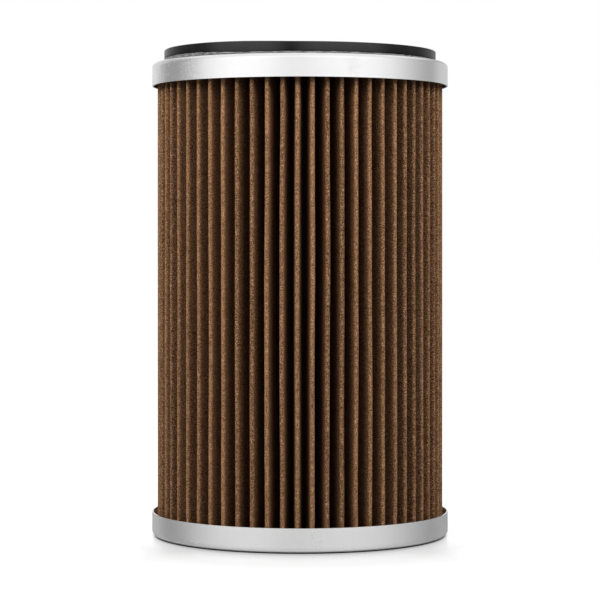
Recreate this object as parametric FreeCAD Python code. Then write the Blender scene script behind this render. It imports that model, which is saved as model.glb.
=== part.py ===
import FreeCAD, Part
import math
import os

from FreeCAD import Vector

# A pleated cartridge for a hydraulic return filter, standing on its closed end.
# The origin is the middle of the base, +Z points up and -Y is the front.
# A direction round the axis is an angle from the front, positive towards +X.

# Overall size, in millimetres
cap_diameter = 130.0
body_height = 207.0         # base to the shoulder of the top cap

# Top end cap
cap_sheet = 0.6             # drawn sheet of both caps
top_skirt = 10.1            # shoulder to lower rim
shoulder_radius = 2.2
seat_height = 0.9           # raised gasket seat above the shoulder
seat_inset = 5.4            # foot of the seat's step, in from the cap's outside
seat_step_run = 0.7         # how far the step leans in
seat_crest_radius = 0.9
seat_foot_radius = 0.4
bore_lip_radius = 2.0
collar_depth = 8.0          # seat to the collar's lower end

# Bottom end cap
bottom_skirt = 10.6         # base to upper rim
base_corner_radius = 2.5
panel_rise = 6.0            # centre panel above the base, seen from below
panel_foot_radius = 1.4
panel_crest_radius = 0.5

# Rubber gasket
gasket_overhang = 0.1       # outside the foot of the seat's step
gasket_margin = 3.5         # from the bore to the ring's inner edge
gasket_height = 4.1
gasket_edge_radius = 0.6

# Adhesive that holds the pleat ends
potting_depth = 3.4         # under the flat of each cap
pleat_sink = 2.4            # how far the paper and its clip stand in it

# Perforated centre tube
tube_sheet = 0.5
tube_clearance = 0.1        # round the collar and round the bottom cap's panel
tube_end_gap = 0.3          # between the tube's end and the bend of the cap
hole_diameter = 9.0
hole_columns = 12
hole_rows = 9
hole_row_pitch = 19.5
tube_seam_width = 5.0       # folded seam, on the inside
tube_seam_height = 1.0
tube_seam_end_gap = 4.0     # from the collar and from the panel
tube_seam_margin = 6.0      # from the middle of the seam to the nearest hole's edge

# Folded paper
pleat_count = 60
paper = 0.9                 # sheet thickness
pleat_depth = 16.1
skirt_gap = 1.8             # from the pleat tips to the inside of the skirts
media_clearance = 0.3       # from the pleat roots to the centre tube
tip_radius = 1.1            # outside of an outer fold
root_radius = 1.2           # outside of an inner fold
pleat_turn = -1.2           # angle of the front pleat

# Clip over the two ends of the paper, behind the axis
clip_sheet = 0.5
clip_depth = 5.0            # how far its legs reach in from the pleat tips
clip_bend_radius = 0.7
clip_fit = 0.05             # beside each leg and above the paper's edges
clip_to_meeting = 1.5       # from the clip's legs in to where the paper's two end legs meet
seam_glue = 0.1             # between the two end legs

# Places that follow from the sizes above
cap_radius = cap_diameter / 2
media_radius = cap_radius - cap_sheet - skirt_gap
root_inner_radius = media_radius - pleat_depth
tube_outer_radius = root_inner_radius - media_clearance
tube_inner_radius = tube_outer_radius - tube_sheet
collar_radius = tube_inner_radius - tube_clearance
bore_radius = collar_radius - cap_sheet
seat_radius = cap_radius - seat_inset
seat_level = body_height + seat_height
collar_end = seat_level - collar_depth
tube_bottom = panel_foot_radius + tube_end_gap
tube_top = seat_level - bore_lip_radius - tube_end_gap
potting_top_face = body_height - cap_sheet - potting_depth
potting_bottom_face = cap_sheet + potting_depth
media_bottom = potting_bottom_face - pleat_sink
media_height = potting_top_face + pleat_sink - media_bottom
pleat_pitch = 360.0 / pleat_count
seam_angle = pleat_turn + pleat_pitch * (pleat_count // 2)
half_paper = paper / 2
tip_centre_radius = media_radius - tip_radius
root_centre_radius = root_inner_radius + root_radius
tip_bend = tip_radius - half_paper
root_bend = root_radius - half_paper
seam_bend = half_paper + seam_glue / 2
seam_paper_end = media_radius - clip_sheet - clip_fit
seam_meeting_radius = media_radius - clip_depth - clip_to_meeting


def offset_right(points, distance):
    """Corners of the line at a distance on the right of a path of straight runs."""
    normals = []
    for start, end in zip(points, points[1:]):
        run = (end - start).normalize()
        normals.append(Vector(run.z, 0, -run.x))
    before = normals[:1] + normals
    after = normals + normals[-1:]
    moved = []
    for point, first, second in zip(points, before, after):
        moved.append(point + (first + second) * (distance / (1 + first.dot(second))))
    return moved


def turns_right(before, corner, after):
    """True where a path in the XZ plane turns right at a corner."""
    first = corner - before
    second = after - corner
    return first.x * second.z - first.z * second.x < 0


def rounded_path(points, radii):
    """Edges along straight runs whose corners are rounded by arcs; a radius of 0 stays sharp."""
    edges = []
    start = points[0]
    for before, corner, after, radius in zip(points, points[1:], points[2:], radii):
        arriving = (corner - before).normalize()
        leaving = (after - corner).normalize()
        if radius > 0:
            half_turn = arriving.getAngle(leaving) / 2
            reach = radius * math.tan(half_turn)
            inward = (leaving - arriving).normalize()
            arc_start = corner - arriving * reach
            arc_middle = corner + inward * (radius / math.cos(half_turn) - radius)
            arc_end = corner + leaving * reach
            edges.append(Part.LineSegment(start, arc_start).toShape())
            edges.append(Part.Arc(arc_start, arc_middle, arc_end).toShape())
            start = arc_end
        else:
            edges.append(Part.LineSegment(start, corner).toShape())
            start = corner
    edges.append(Part.LineSegment(start, points[-1]).toShape())
    return edges


def inner_radii(points, radii, sheet):
    """Corner radii on the right side of a bent sheet, from those on its left side."""
    result = []
    for before, corner, after, radius in zip(points, points[1:], points[2:], radii):
        change = -sheet if turns_right(before, corner, after) else sheet
        result.append(radius + change)
    return result


def turned(edges):
    """The solid that a closed outline in the XZ plane makes when it turns about the Z axis."""
    face = Part.Face(Part.Wire(edges))
    return face.revolve(Vector(0, 0, 0), Vector(0, 0, 1), 360)


def drawn_sheet(points, radii):
    """A cap drawn from sheet: its outside follows the points, its thickness lies on their right."""
    outside = rounded_path(points, radii)
    inner_points = offset_right(points, cap_sheet)
    inside = rounded_path(inner_points, inner_radii(points, radii, cap_sheet))
    first_rim = Part.LineSegment(points[0], inner_points[0]).toShape()
    last_rim = Part.LineSegment(points[-1], inner_points[-1]).toShape()
    return turned(outside + [last_rim] + inside[::-1] + [first_rim])


def potting(points, radii, face_level, tube_end):
    """Adhesive that fills a cap from its inside to a level face, round the end of the centre tube."""
    corners = offset_right(points, cap_sheet)
    rounding = inner_radii(points, radii, cap_sheet)
    skirt_end = Vector(corners[-1].x, 0, face_level)
    collar_start = Vector(corners[0].x, 0, tube_end)
    tube_corner = Vector(tube_outer_radius, 0, tube_end)
    tube_face = Vector(tube_outer_radius, 0, face_level)
    outline = [tube_face, tube_corner, collar_start] + corners[1:-1] + [skirt_end]
    edges = rounded_path(outline, [0, 0] + rounding)
    edges.append(Part.LineSegment(skirt_end, tube_face).toShape())
    return turned(edges)


# The caps' outsides, from the centre outwards to the rim of the skirt
top_cap_path = [
    Vector(bore_radius, 0, collar_end),
    Vector(bore_radius, 0, seat_level),
    Vector(seat_radius - seat_step_run, 0, seat_level),
    Vector(seat_radius, 0, body_height),
    Vector(cap_radius, 0, body_height),
    Vector(cap_radius, 0, body_height - top_skirt),
]
top_cap_radii = [bore_lip_radius, seat_crest_radius, seat_foot_radius, shoulder_radius]
bottom_cap_path = [
    Vector(cap_radius, 0, bottom_skirt),
    Vector(cap_radius, 0, 0),
    Vector(bore_radius, 0, 0),
    Vector(bore_radius, 0, panel_rise),
    Vector(0, 0, panel_rise),
]
bottom_cap_radii = [base_corner_radius, panel_foot_radius, panel_crest_radius]


def around(angle):
    """Unit vector that points out from the axis at an angle from the front."""
    turn = math.radians(angle)
    return Vector(math.sin(turn), -math.cos(turn), 0)


def top_end_cap():
    return drawn_sheet(top_cap_path, top_cap_radii)


def bottom_end_cap():
    return drawn_sheet(bottom_cap_path, bottom_cap_radii)


def upper_potting():
    return potting(top_cap_path, top_cap_radii, potting_top_face, tube_top)


def lower_potting():
    channel = bottom_cap_path[:4][::-1]
    mirrored = [Vector(point.x, 0, -point.z) for point in channel]
    radii = [panel_foot_radius, base_corner_radius]
    bed = potting(mirrored, radii, -potting_bottom_face, -tube_bottom)
    return bed.mirror(Vector(0, 0, 0), Vector(0, 0, 1))


def top_gasket():
    seat = Vector(0, 0, seat_level)
    ring = Part.makeCylinder(seat_radius + gasket_overhang, gasket_height, seat)
    ring = ring.cut(Part.makeCylinder(bore_radius + gasket_margin, gasket_height, seat))
    rims = [edge for edge in ring.Edges if isinstance(edge.Curve, Part.Circle)]
    return ring.makeFillet(gasket_edge_radius, rims)


def centre_tube():
    height = tube_top - tube_bottom
    base = Vector(0, 0, tube_bottom)
    wall = Part.makeCylinder(tube_outer_radius, height, base)
    wall = wall.cut(Part.makeCylinder(tube_inner_radius, height, base))

    seam_bottom = panel_rise + tube_seam_end_gap
    seam_top = collar_end - tube_seam_end_gap
    seam = Part.makeBox(
        tube_seam_width,
        tube_seam_height + tube_sheet,
        seam_top - seam_bottom,
        Vector(-tube_seam_width / 2, tube_inner_radius - tube_seam_height, seam_bottom),
    )
    seam = seam.common(Part.makeCylinder(tube_outer_radius, body_height))
    wall = wall.fuse(seam)

    middle = (tube_bottom + tube_top) / 2
    column_pitch = 360.0 / hole_columns
    seam_clearance = tube_seam_margin + hole_diameter / 2
    punches = []
    for row in range(hole_rows):
        level = middle + (row - (hole_rows - 1) / 2) * hole_row_pitch
        stagger = column_pitch / 2 * (row % 2)
        for column in range(hole_columns):
            angle = column * column_pitch + stagger
            from_seam = math.radians(abs(angle - 180)) * tube_outer_radius
            if from_seam < seam_clearance:
                continue
            outward = around(angle)
            start = outward * (tube_inner_radius / 2) + Vector(0, 0, level)
            punches.append(Part.makeCylinder(hole_diameter / 2, tube_outer_radius, start, outward))
    return wall.cut(Part.makeCompound(punches))


def leg_normal(tip_centre, root_centre, reach, side):
    """Unit normal of the straight leg between two folds, on one side of the line of their centres.

    The leg is the inner tangent of the two folds' circles, so the share of the normal that lies
    along the line of centres is the reach, the sum of their radii, over the distance.
    """
    line = root_centre - tip_centre
    along = reach / line.Length
    line.normalize()
    across = Vector(line.y, -line.x, 0) * side
    return line * along + across * math.sqrt(1 - along * along)


def mitre(centre, first, second, radius):
    """Corner of two lines that lie at a radius from a centre, each square to its unit normal."""
    return centre + (first + second) * (radius / (1 + first.dot(second)))


def fold(centre, entry, crest, leaving, radius, outside):
    """Stops of one side of the paper at a fold: an arc on its outside, a square crease inside."""
    if outside:
        return [[centre + entry * radius], [centre + crest * radius, centre + leaving * radius]]
    return [[mitre(centre, entry, crest, radius)], [mitre(centre, crest, leaving, radius)]]


def ridges():
    """Outward direction, centre and bend of each outer fold, with the seam first and last."""
    seam = (around(seam_angle), around(seam_angle) * seam_meeting_radius, seam_bend)
    tips = []
    for index in range(1, pleat_count):
        outward = around(seam_angle + pleat_pitch * index)
        tips.append((outward, outward * tip_centre_radius, tip_bend))
    return [seam] + tips + [seam]


def paper_side(offset):
    """Stops along one side of the folded paper, from its first end at the seam to its last one.

    The offset from the middle of the sheet is positive on the side that is outermost at the tips.
    A stop is a point to reach in a straight line, or two points for an arc.
    """
    seam, seam_centre, _ = ridges()[0]
    beside = around(seam_angle + 90)
    seam_offset = seam_bend + offset

    stops = [[seam * seam_paper_end + beside * seam_offset]]
    for index, (before, after) in enumerate(zip(ridges(), ridges()[1:])):
        outward, centre, bend = before
        inward = around(seam_angle + pleat_pitch * (index + 0.5)) * -1
        root = inward * -root_centre_radius
        down = leg_normal(centre, root, bend + root_bend, 1)
        if index == 0:
            stops.append([mitre(seam_centre, beside, down, seam_offset)])
        else:
            stops += fold(centre, rise, outward, down, bend + offset, offset > 0)
        rise = leg_normal(after[1], root, after[2] + root_bend, -1)
        stops += fold(root, down * -1, inward, rise * -1, root_bend - offset, offset < 0)

    stops.append([mitre(seam_centre, rise, beside * -1, seam_offset)])
    stops.append([seam * seam_paper_end - beside * seam_offset])
    return stops


def edges_through(stops):
    """Straight and round edges that lead from stop to stop."""
    edges = []
    here = stops[0][-1]
    for stop in stops[1:]:
        if len(stop) == 2:
            edges.append(Part.Arc(here, stop[0], stop[1]).toShape())
        else:
            edges.append(Part.LineSegment(here, stop[0]).toShape())
        here = stop[-1]
    return edges


def pleated_media():
    outer = paper_side(half_paper)
    inner = paper_side(-half_paper)
    first_end = Part.LineSegment(outer[0][-1], inner[0][-1]).toShape()
    last_end = Part.LineSegment(outer[-1][-1], inner[-1][-1]).toShape()
    outline = edges_through(outer) + [last_end] + edges_through(inner)[::-1] + [first_end]
    section = Part.Face(Part.Wire(outline))
    section.translate(Vector(0, 0, media_bottom))
    return section.extrude(Vector(0, 0, media_height))


def seam_clip():
    slot = 2 * (seam_bend + half_paper + clip_fit)
    width = slot + 2 * clip_sheet
    leg_end = clip_depth - media_radius
    back = clip_bend_radius - media_radius
    base = Vector(0, 0, media_bottom)
    legs = Part.makeBox(width, leg_end - back, media_height, base + Vector(-width / 2, back, 0))
    web_width = width - 2 * clip_bend_radius
    web = Part.makeBox(web_width, clip_depth, media_height, base + Vector(-web_width / 2, -media_radius, 0))
    channel = legs.fuse(web)
    for side in (-1, 1):
        bend = base + Vector(side * web_width / 2, back, 0)
        channel = channel.fuse(Part.makeCylinder(clip_bend_radius, media_height, bend))
    mouth = base + Vector(-slot / 2, clip_sheet - media_radius, 0)
    channel = channel.cut(Part.makeBox(slot, clip_depth, media_height, mouth)).removeSplitter()
    channel.rotate(Vector(0, 0, 0), Vector(0, 0, 1), seam_angle)
    return channel


media = pleated_media()
clip = seam_clip()
pieces = {
    "top_gasket": top_gasket(),
    "top_end_cap": top_end_cap(),
    "upper_potting": upper_potting().cut([media, clip]),
    "pleated_media": media,
    "seam_clip": clip,
    "centre_tube": centre_tube(),
    "lower_potting": lower_potting().cut([media, clip]),
    "bottom_end_cap": bottom_end_cap(),
}

os.makedirs("parts", exist_ok=True)
for name, shape in pieces.items():
    shape.exportStep(f"parts/{name}.step")
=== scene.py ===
import math

import bpy
import numpy as np
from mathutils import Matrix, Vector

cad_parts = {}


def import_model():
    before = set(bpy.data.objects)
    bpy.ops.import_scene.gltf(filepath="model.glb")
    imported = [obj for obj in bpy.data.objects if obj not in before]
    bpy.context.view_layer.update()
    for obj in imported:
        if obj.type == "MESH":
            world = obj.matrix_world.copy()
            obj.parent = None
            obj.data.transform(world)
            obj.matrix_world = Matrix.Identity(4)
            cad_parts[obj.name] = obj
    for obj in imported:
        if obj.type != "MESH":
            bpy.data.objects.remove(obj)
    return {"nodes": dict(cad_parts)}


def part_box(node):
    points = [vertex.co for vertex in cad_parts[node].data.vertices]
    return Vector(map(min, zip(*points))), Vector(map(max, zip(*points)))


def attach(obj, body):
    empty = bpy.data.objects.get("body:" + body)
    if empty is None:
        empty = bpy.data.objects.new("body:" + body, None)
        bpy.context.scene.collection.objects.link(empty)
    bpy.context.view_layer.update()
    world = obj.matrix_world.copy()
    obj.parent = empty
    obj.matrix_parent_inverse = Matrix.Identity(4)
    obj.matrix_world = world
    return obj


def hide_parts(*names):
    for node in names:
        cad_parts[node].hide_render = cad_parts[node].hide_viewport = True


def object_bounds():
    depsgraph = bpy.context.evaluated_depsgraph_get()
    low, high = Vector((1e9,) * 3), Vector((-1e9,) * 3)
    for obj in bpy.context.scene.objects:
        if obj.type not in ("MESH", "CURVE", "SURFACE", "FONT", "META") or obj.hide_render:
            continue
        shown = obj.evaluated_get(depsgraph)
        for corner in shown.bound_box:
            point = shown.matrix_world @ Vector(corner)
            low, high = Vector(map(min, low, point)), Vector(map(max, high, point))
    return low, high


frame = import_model()
cad_low, cad_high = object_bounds()

MM = 0.001
BODY = "root"
SEED = 7

# The folded paper's sizes, as the part has them, but with outer folds that are a little sharper
PLEATS = 60
FRONT_PLEAT = math.radians(-1.2)
PAPER = 0.9 * MM
TIP_RADIUS = 0.95 * MM          # outside of an outer fold
ROOT_RADIUS = 1.2 * MM          # outside of an inner fold
SEAM_GLUE = 0.1 * MM            # between the paper's two ends
SEAM_MEETING = 6.5 * MM         # from the pleat tips in to where the two ends part
SEAM_COVER = 0.55 * MM          # the clip's sheet over the paper's ends, with its fit

# How closely the paper is drawn
TIP_POINTS = 6                  # on half an outer fold
ROOT_POINTS = 5                 # on half an inner fold
LEG_POINTS = 4                  # on the straight between them, with its ends
PAPER_LEVELS = 33

# What folding leaves uneven
UNEVENNESS = math.radians(0.6)  # how far the pleats stand off their even places
WAVE_TURN = math.radians(13)
PUSHED = (                      # pushed to the left: how far, then middle and reach in degrees
    (math.radians(2.6), 78, 40),
    (math.radians(0.75), -64, 20),
)
RIDGE_WAVES = (                 # a ridge's own waves over the paper's height, and their size
    (0.5, 0.10 * MM),
    (1.3, 0.08 * MM),
    (2.7, 0.05 * MM),
)
SHARED_WAVE = 5, 0.8, 0.12 * MM # waves round the element, waves up it and their size
HELD_ENDS = 0.12                # share of the height over which the adhesive steadies each ridge
TONE_SPREAD = 0.09              # how much the pleats differ in tone

# The rubber ring, which isn't quite flat, and the glue that it lies in
FOOT_LIFT = 1.0 * MM, -64, 42   # how far the foot is lifted, then middle and reach in degrees
TOP_LIFT = 0.68 * MM, -56, 56   # the same for the top
RING_CORNER = 0.4 * MM
RING_STEPS = 240
CORNER_POINTS = 5
GLUE_CORNER = 0.35 * MM
GLUE_INWARD = 4 * MM            # from the ring's outside
GLUE_OUTWARD = 0.3 * MM
GLUE_SUNK = 1.1 * MM            # below the gasket's seat
GLUE_CLEARANCE = 0.1 * MM       # under the ring's foot

# Bearings in degrees of a scuff that handling has left, and of painted highlights
SCUFFED = -58                   # a patch at the left of the top cap
PAINTED_HIGHLIGHTS = -23, 18                # two paler patches on the rubber ring, painted highlights

CAMERA_LENS = 135.2
CAMERA_SHIFT = -0.1017
CAMERA_DISTANCE = 0.9932
CAMERA_LEVEL = 0.1299

LAMP_DISTANCE = 0.9
LAMP_WIDTH = 0.6
LAMP_HEIGHT = 0.5

SOFT_BOXES = (                  # bearing in degrees, brightness, and cosine where its edge begins
    (-56, 0.27, 0.56),
    (58, 0.2, 0.29),
    (-165, 0.44, 0.74),
    (146, 0.24, 0.91),
)
FLOOR_RADIUS = 12.0
WHITE = 1, 1, 1, 1


def radii(node):
    """Smallest and largest distance of a CAD node's points from the axis."""
    mesh = frame["nodes"][node].data
    points = np.empty(len(mesh.vertices) * 3, np.float32)
    mesh.vertices.foreach_get("co", points)
    reach = np.hypot(points[0::3], points[1::3])
    return float(reach.min()), float(reach.max())


def add_piece(name, mesh, slot, finish, *nodes):
    """Puts a finished mesh on the element's one body, in place of the CAD nodes it stands for."""
    piece = bpy.data.objects.new(name, mesh)
    bpy.context.scene.collection.objects.link(piece)
    piece.data.materials.append(finish)
    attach(piece, BODY)
    if nodes:
        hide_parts(*nodes)


def mesh_of(name, points, quads, flat_from=None):
    """Mesh with smooth quads, flat from one number on."""
    mesh = bpy.data.meshes.new(name)
    mesh.from_pydata(points.reshape(-1, 3), [], quads.reshape(-1, 4))
    smooth = np.ones(len(mesh.polygons), bool)
    if flat_from is not None:
        smooth[flat_from:] = False
    mesh.polygons.foreach_set("use_smooth", smooth)
    mesh.update()
    return mesh


def outward(angle):
    """Unit vector away from the axis as x + iy; angle 0 is the front, positive towards +X."""
    return -1j * np.exp(1j * angle)


def towards(bearing, elevation):
    """Unit vector from the element to a bearing in degrees, 0 in front and positive towards +X."""
    turn, rise = math.radians(bearing), math.radians(elevation)
    return math.sin(turn) * math.cos(rise), -math.cos(turn) * math.cos(rise), math.sin(rise)


def hump(bearing, size, middle, reach):
    """The size at the middle, falling smoothly to 0 at the reach on both sides of it.

    It is the size times (1 - away^3)^2, where away is the way from the middle over the reach. The
    bearing is in radians, the middle and the reach are in degrees.
    """
    away = np.clip(abs(bearing - math.radians(middle)) / math.radians(reach), 0, 1)
    return size * (1 - away**3) ** 2


class Socket:
    """A node's output whose operators add Math nodes, so shader maths reads as arithmetic."""

    def __init__(self, shader, output):
        self.shader = shader
        self.output = output

    def maths(self, operation, *others):
        return self.shader.node("ShaderNodeMath", {"operation": operation}, self, *others)

    def __add__(self, other):
        return self.maths("ADD", other)

    def __sub__(self, other):
        return self.maths("SUBTRACT", other)

    def __rsub__(self, other):
        return self.shader.node("ShaderNodeMath", {"operation": "SUBTRACT"}, other, self)

    def __mul__(self, other):
        return self.maths("MULTIPLY", other)

    __radd__ = __add__
    __rmul__ = __mul__

    def ramp(self, low, high):
        """0 at low, 1 at high and a smooth step between them."""
        settings = {"interpolation_type": "SMOOTHSTEP"}
        return self.shader.node("ShaderNodeMapRange", settings, self, low, high, 0.0, 1.0)


class Shader:
    """The node tree of a material or a world, emptied and ready for new nodes."""

    def __init__(self, owner):
        owner.use_nodes = True
        self.tree = owner.node_tree
        self.tree.nodes.clear()

    def node(self, kind, settings=None, *values, out=0, **named):
        """Adds a node, sets its properties, then fills its inputs by order and by name."""
        made = self.tree.nodes.new(kind)
        for key, value in (settings or {}).items():
            setattr(made, key, value)
        for key, value in list(enumerate(values)) + list(named.items()):
            socket = made.inputs[key if isinstance(key, int) else key.replace("_", " ")]
            if isinstance(value, Socket):
                self.tree.links.new(value.output, socket)
            elif value is not None:
                socket.default_value = value
        return Socket(self, made.outputs[out])

    def point(self):
        """The point on the piece, in metres in the part's own frame."""
        return self.node("ShaderNodeTexCoord", out="Object")

    def axes(self, vector):
        """The x, y and z of a vector, or the red, green and blue of a colour."""
        first = self.node("ShaderNodeSeparateXYZ", None, vector)
        return [Socket(self, output) for output in first.output.node.outputs]

    def along(self, vector, way):
        """How far a vector goes along a fixed way."""
        settings = {"operation": "DOT_PRODUCT"}
        return self.node("ShaderNodeVectorMath", settings, vector, way, out="Value")

    def stretch(self, vector, factors):
        """A vector with each axis times its own factor."""
        return self.node("ShaderNodeVectorMath", {"operation": "MULTIPLY"}, vector, factors)

    def noise(self, vector, scale, detail=2.0, roughness=0.5):
        """Soft noise from 0 to 1 with so many swells to the metre."""
        inputs = {"Scale": scale, "Detail": detail, "Roughness": roughness}
        return self.node("ShaderNodeTexNoise", None, vector, **inputs)

    def cells(self, vector, scale, out):
        """So many cells to the metre: the Distance to a cell's middle, or each cell's own Color."""
        settings = {"feature": "F1", "distance": "EUCLIDEAN"}
        return self.node("ShaderNodeTexVoronoi", settings, vector, Scale=scale, out=out)

    def attribute(self, name):
        """The value of a mesh's own attribute."""
        return self.node("ShaderNodeAttribute", {"attribute_name": name}, out="Fac")

    def mix(self, factor, low, high):
        """The colour low where the factor is 0 and high where it is 1.

        The node's inputs for mixing numbers and vectors come before its colours and are skipped.
        """
        skipped = [None] * 5
        return self.node("ShaderNodeMix", {"data_type": "RGBA"}, factor, *skipped, low, high, out=2)

    def bump(self, height, distance, strength=1.0):
        """Normal of a surface raised by the height, from 0 to 1, times the distance in metres."""
        inputs = {"Height": height, "Distance": distance, "Strength": strength}
        return self.node("ShaderNodeBump", None, **inputs)

    def end(self, kind, result):
        """Ends the tree in its output node."""
        last = self.tree.nodes.new(kind)
        self.tree.links.new(result.output, last.inputs[0])

    def surface(self, **inputs):
        """Ends the tree with one Principled surface."""
        shade = self.node("ShaderNodeBsdfPrincipled", None, **inputs)
        self.end("ShaderNodeOutputMaterial", shade)


def material(name):
    """A new material and its empty shader."""
    made = bpy.data.materials.new(name)
    return made, Shader(made)


def tin_plate():
    """Bright drawn tin plate with fine streaks along the draw, soft waves and dull marks.

    At the left of the top cap it is scuffed, with small bright flecks.
    """
    made, shader = material("tin_plate")
    point = shader.point()
    draw_lines = shader.noise(shader.stretch(point, (1, 1, 0.05)), 1500.0, 3.0, 0.6)
    waves = shader.noise(point, 28.0, 1.0)
    marks = shader.noise(point, 55.0, 3.0, 0.55).ramp(0.56, 0.74)
    blots = shader.noise(point, 420.0, 2.0).ramp(0.4, 0.75) * marks

    scuffed = shader.along(point, towards(SCUFFED, 0)).ramp(0.0605, 0.0638)
    scuffed = scuffed * shader.axes(point)[2].ramp(0.19, 0.195)
    fleck = 1 - shader.cells(point, 750.0, "Distance").ramp(0.15, 0.5)
    fleck = fleck * scuffed * shader.noise(point, 400.0, 2.0).ramp(0.4, 0.55)

    bright, dulled = (0.87, 0.87, 0.87, 1), (0.76, 0.758, 0.775, 1)
    dullness = marks * 0.25 + blots * 0.3 + scuffed * 0.8 - fleck * 1.9
    height = draw_lines * 0.03 + waves * 0.6 + fleck * 0.25
    shader.surface(
        Base_Color=shader.mix(dullness, bright, dulled),
        Metallic=1.0,
        Roughness=0.2 + draw_lines * 0.06 + marks * 0.04 + blots * 0.05,
        Normal=shader.bump(height, 0.08 * MM),
    )
    return made


def black_rubber():
    """Moulded black rubber with a fine matt grain, a little bloom, and two paler patches painted as
    highlights.
    """
    made, shader = material("black_rubber")
    point = shader.point()
    grain = shader.noise(point, 5200.0, 2.0)
    bloom = shader.noise(point, 160.0, 3.0, 0.6).ramp(0.4, 0.8)
    # painted highlights: the ring's colour is paler in two patches, where its sheen would show
    left, right = (shader.along(point, towards(bearing, 0)) for bearing in PAINTED_HIGHLIGHTS)
    painted_highlight = left.ramp(0.056, 0.059).maths("MAXIMUM", right.ramp(0.0548, 0.059))
    black, bloom_and_highlight = (0.001, 0.001, 0.001, 1), (0.028, 0.028, 0.0285, 1)
    shader.surface(
        Base_Color=shader.mix(bloom * 0.2 + painted_highlight * 0.8, black, bloom_and_highlight),
        Roughness=0.3 + bloom * 0.1,
        Specular_IOR_Level=0.22,
        Normal=shader.bump(grain, 0.02 * MM, 0.15),
    )
    return made


def filter_paper():
    """Resin-treated brown paper: matt and grainy, with pale specks and slow changes of tone.

    It is lightest at the ridges, partly from wear, and is painted darker down in the folds as
    shade.
    """
    made, shader = material("brown_filter_paper")
    point = shader.point()
    flake = shader.axes(shader.cells(point, 3600.0, "Color"))[0]
    grain = shader.noise(point, 2300.0, 1.0, 0.5)
    cloud = shader.noise(point, 120.0, 3.0, 0.55)
    streak = shader.noise(shader.stretch(point, (1, 1, 0.03)), 800.0, 2.0, 0.6)
    crest = shader.attribute("crest")
    tone = shader.attribute("tone")

    shade = flake * 0.95 + cloud * 0.22 + streak * 0.5 + tone - 0.34
    paper = shader.mix(shade, (0.045, 0.018, 0.006, 1), (0.37, 0.185, 0.09, 1))
    speckled = shader.mix(flake.ramp(0.75, 0.95) * 0.6, paper, (0.62, 0.4, 0.23, 1))
    # painted shade: the colour goes to a dark brown down in the folds; the ridges are lightest,
    # partly from wear
    wear_and_fold_shade = crest * 0.55 + crest.ramp(0.9, 0.98) * 0.45
    shader.surface(
        Base_Color=shader.mix(wear_and_fold_shade, (0.03, 0.009, 0.003, 1), speckled),
        Roughness=0.82,
        Specular_IOR_Level=0.25,
        Normal=shader.bump(grain, 0.12 * MM, 0.7),
    )
    return made


def adhesive():
    """Cured dark adhesive, smooth with a low sheen and shallow swells."""
    made, shader = material("cured_adhesive")
    swell = shader.noise(shader.point(), 260.0, 2.0)
    shader.surface(
        Base_Color=shader.mix(swell, (0.016, 0.014, 0.013, 1), (0.04, 0.035, 0.031, 1)),
        Roughness=0.4 + swell * 0.15,
        Normal=shader.bump(swell, 0.4 * MM, 0.6),
    )
    return made


def gasket_glue():
    """Grey glue in uneven streaks round the gasket's foot."""
    made, shader = material("gasket_glue")
    level_bands = shader.stretch(shader.point(), (1, 1, 7))
    streaks = shader.noise(level_bands, 260.0, 4.0, 0.6).ramp(0.38, 0.62)
    shader.surface(
        Base_Color=shader.mix(streaks, (0.07, 0.066, 0.067, 1), (0.25, 0.245, 0.25, 1)),
        Roughness=0.3 + streaks * 0.2,
        Normal=shader.bump(streaks, 0.15 * MM),
    )
    return made


def zinc_sheet():
    """Dull zinc-coated steel with soft spangle."""
    made, shader = material("zinc_sheet")
    point = shader.point()
    level = shader.axes(shader.cells(point, 260.0, "Color"))[0]
    shader.surface(
        Base_Color=shader.mix(level, (0.42, 0.43, 0.45, 1), (0.6, 0.61, 0.63, 1)),
        Metallic=1.0,
        Roughness=0.38 + level * 0.14,
        Normal=shader.bump(shader.noise(point, 180.0, 3.0), 0.05 * MM),
    )
    return made


def leg(ridge, angle, bend, opening, root, root_angle, side):
    """One leg of each pleat from its ridge to its root: the mid-line and its normal's headings.

    The normal starts at the opening's turn from the ridge's outward direction. It turns with the
    ridge's arc to the leg's own heading and turns back with the root's arc to the root's outward
    direction. The leg is the inner tangent of the two arcs' circles, so the share of its normal
    along the line of their centres is the sum of their radii over the distance.
    """
    root_bend = ROOT_RADIUS - PAPER / 2
    line = root - ridge
    along = (bend + root_bend) / abs(line)
    normal = line / abs(line) * (along - 1j * side * np.sqrt(1 - along**2))
    slant = angle + np.angle(normal / outward(angle))

    start = angle + side * opening
    fold = start + (slant - start) * np.linspace(0, 1, TIP_POINTS)[:, None]
    crease = slant + (root_angle - slant) * np.linspace(0, 1, ROOT_POINTS)[:, None]
    folded = ridge + bend * outward(fold)
    creased = root - root_bend * outward(crease)
    share = np.linspace(0, 1, LEG_POINTS)[1:-1, None]
    straight = folded[-1] + (creased[0] - folded[-1]) * share
    headings = np.concatenate([fold, slant + 0 * share, crease])
    return np.concatenate([folded, straight, creased]).T, headings.T


def unevenly(angle):
    """The pleats' angles as folded, from their even ones.

    Four waves round the element carry the pleats off, most in front and not at the seam, and at
    two bearings the pleats are pushed to the left.
    """
    wave = (np.cos(4 * (angle + WAVE_TURN)) - 0.3) * np.cos(angle / 2) ** 2
    pushed = sum(hump(angle, *push) for push in PUSHED)
    return angle + UNEVENNESS * wave - pushed


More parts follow.
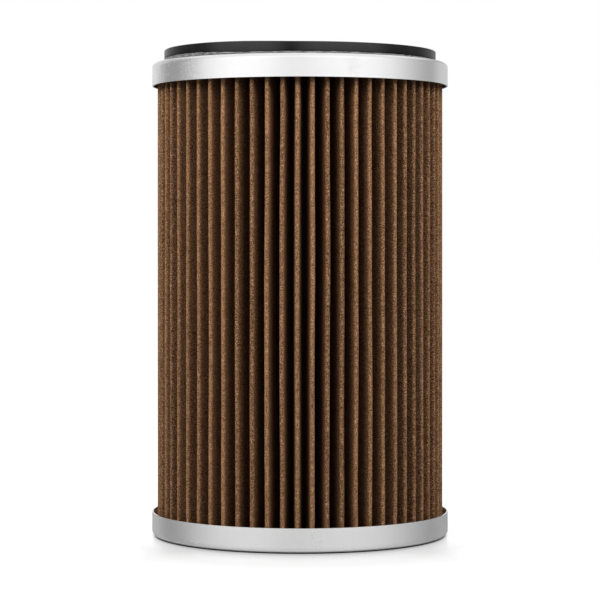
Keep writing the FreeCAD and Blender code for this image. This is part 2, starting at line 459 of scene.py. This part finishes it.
def paper_line():
    """The paper's mid-line from above, from one end at the seam round to the other.

    Returns its points as x + iy, the heading of the normal at each, and the number of the ridge
    that each point belongs to. Each pleat is a falling leg and a rising one, its mirror image.
    """
    root_inner, media_radius = radii("pleated_media")
    pitch = 2 * math.pi / PLEATS
    number = np.arange(PLEATS + 1)
    seam = np.isin(number, (0, PLEATS))
    angle = unevenly(FRONT_PLEAT - math.pi + pitch * number)
    reach = np.where(seam, media_radius - SEAM_MEETING, media_radius - TIP_RADIUS)
    bend = np.where(seam, (PAPER + SEAM_GLUE) / 2, TIP_RADIUS - PAPER / 2)
    opening = np.where(seam, math.pi / 2, 0)
    ridge = outward(angle) * reach
    root_angle = (angle[:-1] + angle[1:]) / 2
    root = outward(root_angle) * (root_inner + ROOT_RADIUS)

    falling, falling_heading = leg(
        ridge[:-1], angle[:-1], bend[:-1], opening[:-1], root, root_angle, 1)
    rising, rising_heading = leg(
        ridge[1:], angle[1:], bend[1:], opening[1:], root, root_angle, -1)
    points = np.hstack([falling, rising[:, -2:0:-1]])
    headings = np.hstack([falling_heading, rising_heading[:, -2:0:-1]])
    numbers = np.repeat(number[:-1, None], points.shape[1], axis=1)
    numbers[:, falling.shape[1]:] += 1

    end = media_radius - SEAM_COVER
    beside = headings[0, 0], rising_heading[-1, 0]
    first = outward(angle[0]) * end + outward(beside[0]) * bend[0]
    last = outward(angle[0]) * end + outward(beside[1]) * bend[0]
    return (
        np.concatenate([[first], points.ravel(), [rising[-1, 0], last]]),
        np.concatenate([[beside[0]], headings.ravel(), [beside[1]] * 2]),
        np.concatenate([[0], numbers.ravel(), [PLEATS] * 2]),
    )


def ridge_drift(levels, rng):
    """How far each ridge wanders sideways at each level, in metres.

    Each ridge has three slow sine waves along its height with phases of its own, and shares one
    more with its neighbours. All of it fades out at the ends, where the adhesive holds the paper,
    and at the seam, where the clip does.
    """
    height = (levels - levels[0]) / (levels[-1] - levels[0])
    ridges = np.arange(PLEATS + 1)
    drift = np.zeros((len(levels), PLEATS + 1))
    for waves, size in RIDGE_WAVES:
        phase = rng.uniform(0, 2 * math.pi, PLEATS + 1)
        drift += size * np.sin(2 * math.pi * waves * height[:, None] + phase)
    around, upward, size = SHARED_WAVE
    drift += size * np.sin(2 * math.pi * (around * ridges / PLEATS + upward * height[:, None]))
    held = np.clip(np.minimum(height, 1 - height) / HELD_ENDS, 0, 1)[:, None]
    beside_seam = np.clip(np.minimum(ridges, PLEATS - ridges) / 2, 0, 1)
    return drift * held * held * (3 - 2 * held) * beside_seam


def folded_paper(paper):
    """The pleated paper as one closed sheet: both faces stand half a sheet off the mid-line."""
    rng = np.random.default_rng(SEED)
    low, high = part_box("pleated_media")
    root_inner, media_radius = radii("pleated_media")
    line, heading, number = paper_line()
    crest = np.clip((abs(line) - root_inner) / (media_radius - root_inner), 0, 1)
    half = outward(heading) * PAPER / 2
    loop = np.concatenate([line + half, (line - half)[::-1]])
    loop_number = np.concatenate([number, number[::-1]])
    loop_crest = np.concatenate([crest, crest[::-1]])

    levels = np.linspace(low[2], high[2], PAPER_LEVELS)
    drift = ridge_drift(levels, rng)[:, loop_number] * loop_crest
    sideways = outward(FRONT_PLEAT + math.pi * (1.5 + 2 * loop_number / PLEATS))
    flat = loop + drift * sideways
    height = np.broadcast_to(levels[:, None], flat.shape)
    points = np.stack([flat.real, flat.imag, height], axis=-1)

    rows, columns = flat.shape
    index = np.arange(rows * columns).reshape(rows, columns)
    loops = np.hstack([index, index[:, :1]])
    walls = np.stack([loops[:-1, :-1], loops[:-1, 1:], loops[1:, 1:], loops[1:, :-1]], axis=-1)
    count = len(line)
    outer, inner = index[:, :count], index[:, :count - 1:-1]
    top = np.stack([outer[-1, :-1], outer[-1, 1:], inner[-1, 1:], inner[-1, :-1]], axis=-1)
    bottom = np.stack([inner[0, :-1], inner[0, 1:], outer[0, 1:], outer[0, :-1]], axis=-1)
    quads = np.concatenate([walls.reshape(-1, 4), top, bottom])
    mesh = mesh_of("pleats", points, quads, (rows - 1) * columns)

    tones = rng.normal(0, TONE_SPREAD, PLEATS + 1)[loop_number] * loop_crest
    for name, values in (("crest", loop_crest), ("tone", tones)):
        attribute = mesh.attributes.new(name, "FLOAT", "POINT")
        attribute.data.foreach_set("value", np.tile(values, rows).astype(np.float32))
    add_piece("pleats", mesh, "filter_paper", paper, "pleated_media")


def ring(name, reach, heights, corner, slot, finish, *nodes):
    """A closed ring of rounded rectangular section.

    The reach is its inner and outer radius, and its lower and upper heights follow from the
    bearing. Each corner is a quarter circle, taken anticlockwise round the section.
    """
    bearing = np.linspace(-math.pi, math.pi, RING_STEPS, endpoint=False)
    inner, outer = reach[0] + corner, reach[1] - corner
    low, high = (height(bearing)[:, None] for height in heights)
    low, high = low + corner, high - corner
    sides = (outer, high), (inner, high), (inner, low), (outer, low)
    turn = np.linspace(0, math.pi / 2, CORNER_POINTS)
    quarters = [turn + math.pi / 2 * i for i in range(4)]
    corners = list(zip(sides, quarters))
    radius = np.concatenate([side[0] + corner * np.cos(quarter) for side, quarter in corners])
    level = np.hstack([side[1] + corner * np.sin(quarter) for side, quarter in corners])
    flat = outward(bearing)[:, None] * radius
    points = np.stack([flat.real, flat.imag, level], axis=-1)

    rows, columns = flat.shape
    index = np.arange(rows * columns).reshape(rows, columns)
    loops = np.pad(index, ((0, 1), (0, 1)), mode="wrap")
    quads = np.stack([loops[:-1, :-1], loops[1:, :-1], loops[1:, 1:], loops[:-1, 1:]], axis=-1)
    add_piece(name, mesh_of(name, points, quads), slot, finish, *nodes)


def gasket_and_glue(rubber, glue):
    """The soft ring, lifted a little at the left of the front, and the glue that fills the gap."""
    inner, outer = radii("top_gasket")
    low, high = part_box("top_gasket")

    def foot(bearing):
        return low[2] + hump(bearing, *FOOT_LIFT)

    def top(bearing):
        return high[2] + hump(bearing, *TOP_LIFT)

    def glue_foot(bearing):
        return low[2] - GLUE_SUNK + 0 * bearing

    def glue_top(bearing):
        return foot(bearing) - GLUE_CLEARANCE

    glue_reach = outer - GLUE_INWARD, outer + GLUE_OUTWARD
    ring("gasket_ring", (inner, outer), (foot, top), RING_CORNER,
         "gasket_rubber", rubber, "top_gasket")
    ring("gasket_glue", glue_reach, (glue_foot, glue_top), GLUE_CORNER, "adhesive", glue)


def dress(node, finish):
    """Gives a CAD node its finish."""
    for slot in frame["nodes"][node].material_slots:
        slot.material = finish


def camera():
    """The camera stands level with the upper middle of the element and looks along +Y."""
    data = bpy.data.cameras.new("camera")
    data.sensor_width = 36.0
    data.lens = CAMERA_LENS
    data.shift_y = CAMERA_SHIFT
    made = bpy.data.objects.new("camera", data)
    bpy.context.scene.collection.objects.link(made)
    made.location = (0, -CAMERA_DISTANCE, CAMERA_LEVEL)
    made.rotation_euler = (math.pi / 2, 0, 0)
    bpy.context.scene.camera = made
    bpy.context.scene.view_settings.view_transform = "Standard"


def seen_directly(shader):
    """Two masks: 1 for the camera's rays, and 1 for those and the ones from a mirror or glass."""
    outputs = shader.node("ShaderNodeLightPath").output.node.outputs
    camera_ray, glossy, through = [
        Socket(shader, outputs[f"Is {kind} Ray"]) for kind in ("Camera", "Glossy", "Transmission")]
    return camera_ray, (camera_ray + glossy + through).maths("MINIMUM", 1.0)


def world():
    """White behind the element for the camera, and a studio round it for metal and soft light.

    Metal sees a room that is bright ahead, darkest at the sides a little behind the element, and
    bright again behind it, with four soft boxes and a pale ceiling. Diffuse light comes mostly
    from behind, and a little from above.
    """
    made = bpy.data.worlds.new("world")
    bpy.context.scene.world = made
    shader = Shader(made)
    camera_ray, direct = seen_directly(shader)
    direction = shader.node("ShaderNodeTexCoord", out="Generated")
    _, y, z = shader.axes(direction)

    room = 0.36 + y.ramp(0.39, -0.74) * 0.56
    for bearing, brightness, edge in SOFT_BOXES:
        room = room + shader.along(direction, towards(bearing, 3)).ramp(edge, 1.0) * brightness
    room = (room * 1.08).maths("MAXIMUM", z.ramp(0.15, 0.75) * 0.95)
    ambient = 0.02 + y.ramp(0.3, 1.0) * 0.6 + z.ramp(0.6, 1.0) * 0.1
    level = direct * room + (1 - direct) * ambient
    level = camera_ray + (1 - camera_ray) * level
    shader.end("ShaderNodeOutputWorld", shader.node("ShaderNodeBackground", None, WHITE, level))


def lamp(name, bearing, elevation, share):
    """A soft box that faces the element, with its share of the light that makes paper white.

    A lamp's power is the share times the area of the sphere at its distance.
    """
    data = bpy.data.lights.new(name, "AREA")
    data.shape = "RECTANGLE"
    data.size = LAMP_WIDTH
    data.size_y = LAMP_HEIGHT
    data.energy = share * 4 * math.pi * LAMP_DISTANCE**2
    made = bpy.data.objects.new(name, data)
    bpy.context.scene.collection.objects.link(made)
    middle = (0, 0, cad_high[2] / 2)
    made.location = np.array(towards(bearing, elevation)) * LAMP_DISTANCE + middle
    made.rotation_euler = (math.radians(90 - elevation), 0, math.radians(bearing))
    made.visible_camera = False
    made.visible_glossy = False


def floor():
    """White floor: where nothing shades it, the camera sees it as white as the background.

    Its glow for the camera is weaker in front of the element, where its shadow falls, so that it
    paints shade there too, and ends under it, where the floor is also painted darker as a contact
    shadow. The camera sees the element mirrored softly close to its foot, and metal sees the floor
    darker than the camera does, and part of the room in it.
    """
    made, shader = material("white_floor")
    camera_ray, direct = seen_directly(shader)
    mirrored = direct - camera_ray
    x, y, _ = shader.axes(shader.point())
    radius = (x * x + y * y).maths("SQRT")
    clear = radius.ramp(0.063, 0.0655)
    close = 1 - radius.ramp(0.062, 0.1)
    beside = x.maths("ABSOLUTE").ramp(0.058, 0.085).maths("MAXIMUM", y.ramp(-0.06, -0.01)) * 0.9
    beyond = beside.maths("MAXIMUM", radius.ramp(0.09, 0.155))

    # painted contact shadow: the floor's colour is much darker right under the element's foot
    contact_shadowed_albedo = shader.mix(clear, (0.05, 0.05, 0.05, 1), (0.25, 0.25, 0.25, 1))
    diffuse = shader.node("ShaderNodeBsdfDiffuse", None, contact_shadowed_albedo)
    # painted shade: the glow is weaker in front of the element and ends under it
    level = clear * camera_ray * (0.59 + beyond * 0.41)
    glow = shader.node("ShaderNodeEmission", None, WHITE, level)
    both = shader.node("ShaderNodeAddShader", None, diffuse, glow)
    mirror = shader.node("ShaderNodeBsdfGlossy", None, WHITE, 0.15)
    share = clear * (mirrored * 0.43 + camera_ray * close * 0.5)
    result = shader.node("ShaderNodeMixShader", None, share, both, mirror)
    shader.end("ShaderNodeOutputMaterial", result)

    bpy.ops.mesh.primitive_circle_add(vertices=96, radius=FLOOR_RADIUS, fill_type="NGON")
    ground = bpy.context.object
    ground.name = "floor"
    ground.data.materials.append(made)


camera()
world()
floor()
lamp("key", -43, 43, 0.88)
lamp("fill", 43, 43, 0.77)

tin = tin_plate()
paste = adhesive()
dress("top_end_cap", tin)
dress("bottom_end_cap", tin)
dress("seam_clip", tin)
gasket_and_glue(black_rubber(), gasket_glue())
dress("upper_potting", paste)
dress("lower_potting", paste)
dress("centre_tube", zinc_sheet())
folded_paper(filter_paper())
